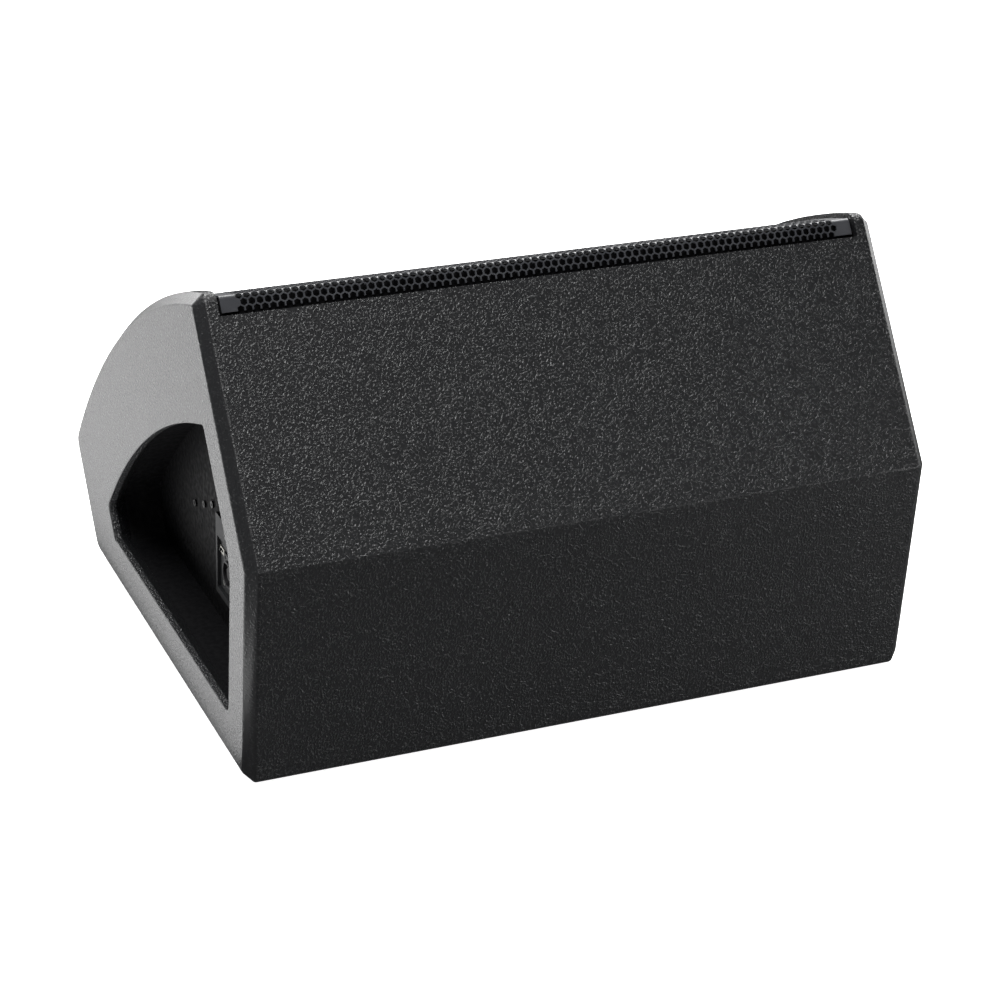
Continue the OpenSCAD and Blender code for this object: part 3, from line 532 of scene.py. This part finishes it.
def make_end_panel(node, name):
    """One end panel. The coating rounds its bevel's edges, and the edge that stands proud of
    the grille is eased; where it meets the other panels the film bridges the joint."""
    obj = copy_of(node, name)
    bevel_root = END_X - BEVEL_W

    def outer(middle, ends):
        return min(abs(p.x) for p in ends) > bevel_root - 2 * MM

    def proud(middle, ends):
        out = (Vector((middle.y, middle.z)) - CENTRE).length
        return abs(abs(middle.x) - INNER_X) < 0.1 * MM and abs(out - FRONT_R) < 1.5 * MM

    round_sharp(obj, 1.3, outer, 3, 24)
    round_sharp(obj, 0.8, proud, 2, 24)
    finish_piece(obj, coating, node, angle=22)
    obj.data.materials.append(levelled_coating)
    for face in obj.data.polygons:
        # The bevel slopes between the end's face and its edge
        if 0.45 < abs(face.normal.x) < 0.93 and abs(face.center.x) > bevel_root - 1 * MM:
            face.material_index = 1


make_end_panel("end_panel_right", "end_panel_right_coated")
make_end_panel("end_panel_left", "end_panel_left_coated")

# ---------------------------------------------------------------- rear upper panel

RECESS_L = 40 * MM


def make_rear_upper_panel():
    """The rear upper panel. The recess under the grille's flange is laid in the pocket's flat
    black as painted shade, the shadow of the gap under the flange.
    """
    obj = copy_of("rear_upper_panel", "rear_upper_panel_coated")
    finish_piece(obj, coating, "rear_upper_panel", angle=22)
    # Painted shade: the recess faces under the flange get the pocket's flat black
    obj.data.materials.append(pocket_paint_and_painted_shade)
    # The recess lies at least a millimetre under the face and near the crown
    recess_top = unit(UP_A).dot(KNEE) - 1 * MM
    recess_end = RISE.dot(CROWN) - RECESS_L
    for face in obj.data.polygons:
        middle = Vector((face.center.y, face.center.z))
        if middle.dot(unit(UP_A)) < recess_top and middle.dot(RISE) > recess_end:
            face.material_index = 1


make_rear_upper_panel()

# ---------------------------------------------------------------- grille

PITCH = 6.62 * MM
ROW = PITCH * math.sqrt(3) / 2
WEB = 1.2 * MM
SHEET_T = 1.5 * MM
SHEET_HALF_W = 279 * MM
HOLES_ACROSS = 81
FIRST_ROW = 1.3 * MM
PLAIN_FRONT = 5 * MM
FLANGE_DROP, GRILLE_DROP = 3 * MM, 4 * MM
REAR_FLANGE, FRONT_FLANGE = 17 * MM, 24 * MM
REAR_BEND, FRONT_BEND = 4 * MM, 8 * MM
REAR_BEND_STEPS, FRONT_BEND_STEPS = 6, 8
# How near an edge's middle has to be to a border's row to count as on it
ON_ROW = 0.2 * MM


def grille_profile():
    """The sheet's outer face from the rear flange's edge over the curve to the front flange's
    edge. A flat run is its kind, length, start and facing angle, and a bend is its kind,
    length, centre and (first angle, last angle, radius)."""
    up_reach = unit(UP_A).dot(KNEE) - FLANGE_DROP
    low_reach = unit(LOW_A).dot(TOE) - FLANGE_DROP
    big_r = FRONT_R - GRILLE_DROP
    top_c = on_line_and_circle(UP_A, up_reach - REAR_BEND, CENTRE, big_r - REAR_BEND, 1)
    low_c = on_line_and_circle(LOW_A, low_reach - FRONT_BEND, CENTRE, big_r - FRONT_BEND, -1)
    top_a = math.atan2(*(top_c - CENTRE).yx)
    low_a = math.atan2(*(low_c - CENTRE).yx)
    edge_0 = up_reach * unit(UP_A) + (RISE.dot(CROWN) - REAR_FLANGE) * RISE
    edge_1 = low_reach * unit(LOW_A) + (RISE.dot(TIP) - FRONT_FLANGE) * RISE
    flat_0 = (top_c + REAR_BEND * unit(UP_A) - edge_0).length
    flat_1 = (low_c + FRONT_BEND * unit(LOW_A) - edge_1).length
    return [
        ("flat", flat_0, edge_0, UP_A),
        ("bend", REAR_BEND * (top_a - UP_A), top_c, (UP_A, top_a, REAR_BEND)),
        ("bend", big_r * (low_a - top_a), CENTRE, (top_a, low_a, big_r)),
        ("bend", FRONT_BEND * (LOW_A - low_a), low_c, (low_a, LOW_A, FRONT_BEND)),
        ("flat", flat_1, low_c + FRONT_BEND * unit(LOW_A), LOW_A),
    ]


RUNS = grille_profile()
FLAT_0_L, BEND_0_L, CURVE_L, BEND_1_L, FLAT_1_L = [run[1] for run in RUNS]
SHEET_L = sum(run[1] for run in RUNS)
ROWS = int((SHEET_L - (BEND_1_L + FLAT_1_L + PLAIN_FRONT) - FIRST_ROW) / ROW)


def on_sheet(length):
    """Place on the sheet's outer face, as (Y, Z), at a length from the rear flange's edge."""
    for kind, run_l, start, facts in RUNS[:-1]:
        if length <= run_l:
            break
        length -= run_l
    else:
        kind, run_l, start, facts = RUNS[-1]
    if kind == "flat":
        return start + length * unit(facts + math.pi / 2)
    first_a, last_a, radius = facts
    return start + radius * unit(first_a + length / radius)


def perforate():
    """A flat triangular lattice, each of whose inner points becomes a six-sided hole."""
    bpy.ops.object.select_all(action="DESELECT")
    bpy.ops.mesh.primitive_grid_add(x_subdivisions=HOLES_ACROSS, y_subdivisions=ROWS + 1, size=1)
    obj = bpy.context.object
    obj.name = "grille_perforated"
    # One vertex for each hole, with a spare row or column all round, every other row shifted
    columns = HOLES_ACROSS + 1
    for index, vertex in enumerate(obj.data.vertices):
        column, row = index % columns, index // columns
        shift = 0.25 if row % 2 else -0.25
        vertex.co = ((column - HOLES_ACROSS / 2 + shift) * PITCH, FIRST_ROW + (row - 1) * ROW, 0.0)
    editing(obj)
    bpy.ops.mesh.select_all(action="SELECT")
    bpy.ops.mesh.quads_convert_to_tris(quad_method="SHORTEST_DIAGONAL")
    mesh = bmesh.from_edit_mesh(obj.data)
    for edge in mesh.edges:
        edge.select_set(not edge.is_boundary)
    bmesh.update_edit_mesh(obj.data)
    bpy.ops.mesh.bevel(offset=(PITCH - WEB) / (2 * math.sqrt(3)), segments=1, affect="EDGES")
    # The six-sided face left at each inner vertex is punched out
    bpy.ops.mesh.select_mode(type="FACE")
    bpy.ops.mesh.select_all(action="DESELECT")
    mesh = bmesh.from_edit_mesh(obj.data)
    hole_area = (PITCH - WEB) ** 2 * math.sqrt(3) / 2
    for face in mesh.faces:
        face.select_set(len(face.verts) == 6 and abs(face.calc_area() / hole_area - 1) < 0.02)
    bmesh.update_edit_mesh(obj.data)
    bpy.ops.mesh.delete(type="FACE")
    bpy.ops.mesh.select_mode(type="EDGE")
    return obj


def stretch_border(chosen, axis, target):
    """Extrudes the open edges that chosen picks, straight out to a line across the sheet."""
    obj = bpy.context.object
    bpy.ops.mesh.select_all(action="DESELECT")
    mesh = bmesh.from_edit_mesh(obj.data)
    for edge in mesh.edges:
        middle = (edge.verts[0].co + edge.verts[1].co) / 2
        edge.select_set(edge.is_boundary and chosen(middle))
    bmesh.update_edit_mesh(obj.data)
    bpy.ops.mesh.extrude_region_move()
    scale, centre = [1.0, 1.0, 1.0], [0.0, 0.0, 0.0]
    scale[axis], centre[axis] = 0.0, target
    bpy.ops.transform.resize(value=scale, center_override=centre)


def add_plain_margins():
    """Plain margins at both ends, then along both flanges."""
    # The outer border lies beyond this line, and the last holes' own edges inside it
    half = (HOLES_ACROSS / 2 - 0.3) * PITCH
    bottom_row, top_row = FIRST_ROW - ROW, FIRST_ROW + ROWS * ROW
    for side in (-1, 1):
        stretch_border(lambda middle: side * middle.x > half
                       and bottom_row + ON_ROW < middle.y < top_row - ON_ROW,
                       0, side * SHEET_HALF_W)
    stretch_border(lambda middle: middle.y > top_row - ON_ROW, 1, SHEET_L)
    stretch_border(lambda middle: middle.y < bottom_row + ON_ROW, 1, bottom_row - 2 * MM)


def cut_across(place, clear_inner=False):
    """Cuts the flat sheet across at a length from the rear flange's edge."""
    bpy.ops.mesh.select_all(action="SELECT")
    bpy.ops.mesh.bisect(plane_co=(0, place, 0), plane_no=(0, 1, 0), clear_inner=clear_inner)


def make_grille():
    """The grille: a flat lattice is perforated, given its plain margins, bent over the
    cabinet's profile and thickened."""
    obj = perforate()
    add_plain_margins()
    # Trimmed at the rear flange's edge, and cut across the bends so that they turn smoothly
    cut_across(0.0, clear_inner=True)
    for step in range(REAR_BEND_STEPS + 1):
        cut_across(FLAT_0_L + BEND_0_L * step / REAR_BEND_STEPS)
    for step in range(FRONT_BEND_STEPS + 1):
        cut_across(FLAT_0_L + BEND_0_L + CURVE_L + BEND_1_L * step / FRONT_BEND_STEPS)
    done()
    for vertex in obj.data.vertices:
        y, z = on_sheet(vertex.co.y)
        vertex.co = (vertex.co.x, y, z)
    editing(obj)
    bpy.ops.mesh.select_all(action="SELECT")
    bpy.ops.mesh.remove_doubles(threshold=SAME_POINT)
    bpy.ops.mesh.normals_make_consistent(inside=False)
    done()
    # The sheet's outer face has to look away from the curve's centre before it is thickened
    face = max(obj.data.polygons, key=lambda f: f.area)
    middle = Vector((face.center.y, face.center.z))
    if Vector((face.normal.y, face.normal.z)).dot(middle - CENTRE) < 0:
        obj.data.flip_normals()
    apply_modifier(obj, "SOLIDIFY", thickness=SHEET_T, offset=-1.0)
    finish_piece(obj, grille_coat, "grille", angle=1)


make_grille()

# ---------------------------------------------------------------- smaller pieces

# Bent and punched steel, turned steel and moulded plastic by their usual edge radii in mm
EDGE_RADII = {
    "connector_plate": 0.4, "socket_input": 0.35, "socket_link": 0.35,
    "mode_switch_body": 0.15, "mode_switch_lever": 0.2, "rubber_feet": 1.0,
    "port_tube_right": 1.0, "port_tube_left": 1.0, "hf_cover": 0.8, "hf_mounting_plate": 0.5,
    "woofer_basket": 0.8, "woofer_gasket": 0.5, "woofer_magnet": 1.2, "woofer_top_plate": 0.5,
    "woofer_pole_piece": 0.6, "woofer_terminal": 0.3, "hf_magnet": 0.6,
    "crossover_capacitors": 0.5, "crossover_resistors": 0.5, "crossover_terminals": 0.4,
    "crossover_inductors": 0.8, "board_standoffs": 0.2, "baffle_battens": 0.8, "baffle": 0.6,
    "pocket_screws": 0.25, "plate_screws": 0.25, "grille_screws": 0.3, "socket_screws": 0.2,
    "foot_screws": 0.2, "woofer_bolts": 0.4,
}


def ease_edges(node, radius_mm):
    """A copy of a node whose sharp edges have the small radius its making leaves."""
    obj = copy_of(node, node + "_eased")
    round_sharp(obj, radius_mm, segments=2, sharp=40)
    finish_piece(obj, SLOT_MATERIALS[NODE_SLOT[node]], node)


def make_lead(node):
    """An internal lead, smooth along its insulation and sharp at its cut ends."""
    obj = copy_of(node, node + "_insulated")
    finish_piece(obj, SLOT_MATERIALS[NODE_SLOT[node]], node, angle=70)


for node_name, radius_mm in EDGE_RADII.items():
    ease_edges(node_name, radius_mm)
for node_name in ("lead_input", "lead_woofer", "lead_hf"):
    make_lead(node_name)

# ---------------------------------------------------------------- foam and felt

FELT_WAVE_L, FELT_WAVE_H = 28 * MM, 1.6 * MM


def make_grille_foam():
    """The cut foam sheet behind the grille, its cut edges a little crushed."""
    obj = copy_of("grille_foam", "grille_foam_sheet")
    round_sharp(obj, 1.5, segments=2, sharp=40)
    finish_piece(obj, foam, "grille_foam")


def make_felt():
    """Two thick felt pads with soft corners and the shallow waves of a teased face."""
    obj = copy_of("damping_felt", "damping_felt_pads")
    round_sharp(obj, 5.0, segments=3, sharp=40)
    editing(obj)
    bpy.ops.mesh.select_all(action="SELECT")
    bpy.ops.mesh.subdivide(number_cuts=9)
    bpy.ops.mesh.select_all(action="SELECT")
    bpy.ops.mesh.quads_convert_to_tris()
    done()
    clouds = bpy.data.textures.new("felt_waves", "CLOUDS")
    clouds.noise_scale = FELT_WAVE_L
    apply_modifier(obj, "DISPLACE", texture=clouds, strength=FELT_WAVE_H, mid_level=0.9,
                   texture_coords="LOCAL")
    finish_piece(obj, felt, "damping_felt", angle=60)


make_grille_foam()
make_felt()

# ---------------------------------------------------------------- the set

make_camera()
make_floor()

# Name, place, width and height in metres, power in watts
softbox("front_left", (0.9, -2.9, 0.8), 1.8, 1.2, 45)
softbox("low_card", (0.81, -0.75, 0.004), 1.0, 1.9, 15.5, aim=(0.81, -0.75, 1.0))
softbox("top", (0.95, 0.15, 2.2), 1.2, 0.9, 85)
softbox("rim", (-0.9, -1.4, 1.75), 1.2, 1.4, 85)
softbox("right_card", (-2.2, -0.9, 0.3), 1.6, 0.5, 14)
softbox("left_high", (1.0, 1.7, 1.85), 0.3, 0.3, 7)
softbox("right_fill", (-2.2, 1.9, 0.2), 1.2, 0.4, 40)

world = bpy.data.worlds.new("studio")
world.use_nodes = True
fill(world.node_tree.nodes["Background"], {"Color": rgb("#ffffff"), "Strength": 0.09})
scene.world = world
scene.view_settings.view_transform = "Standard"
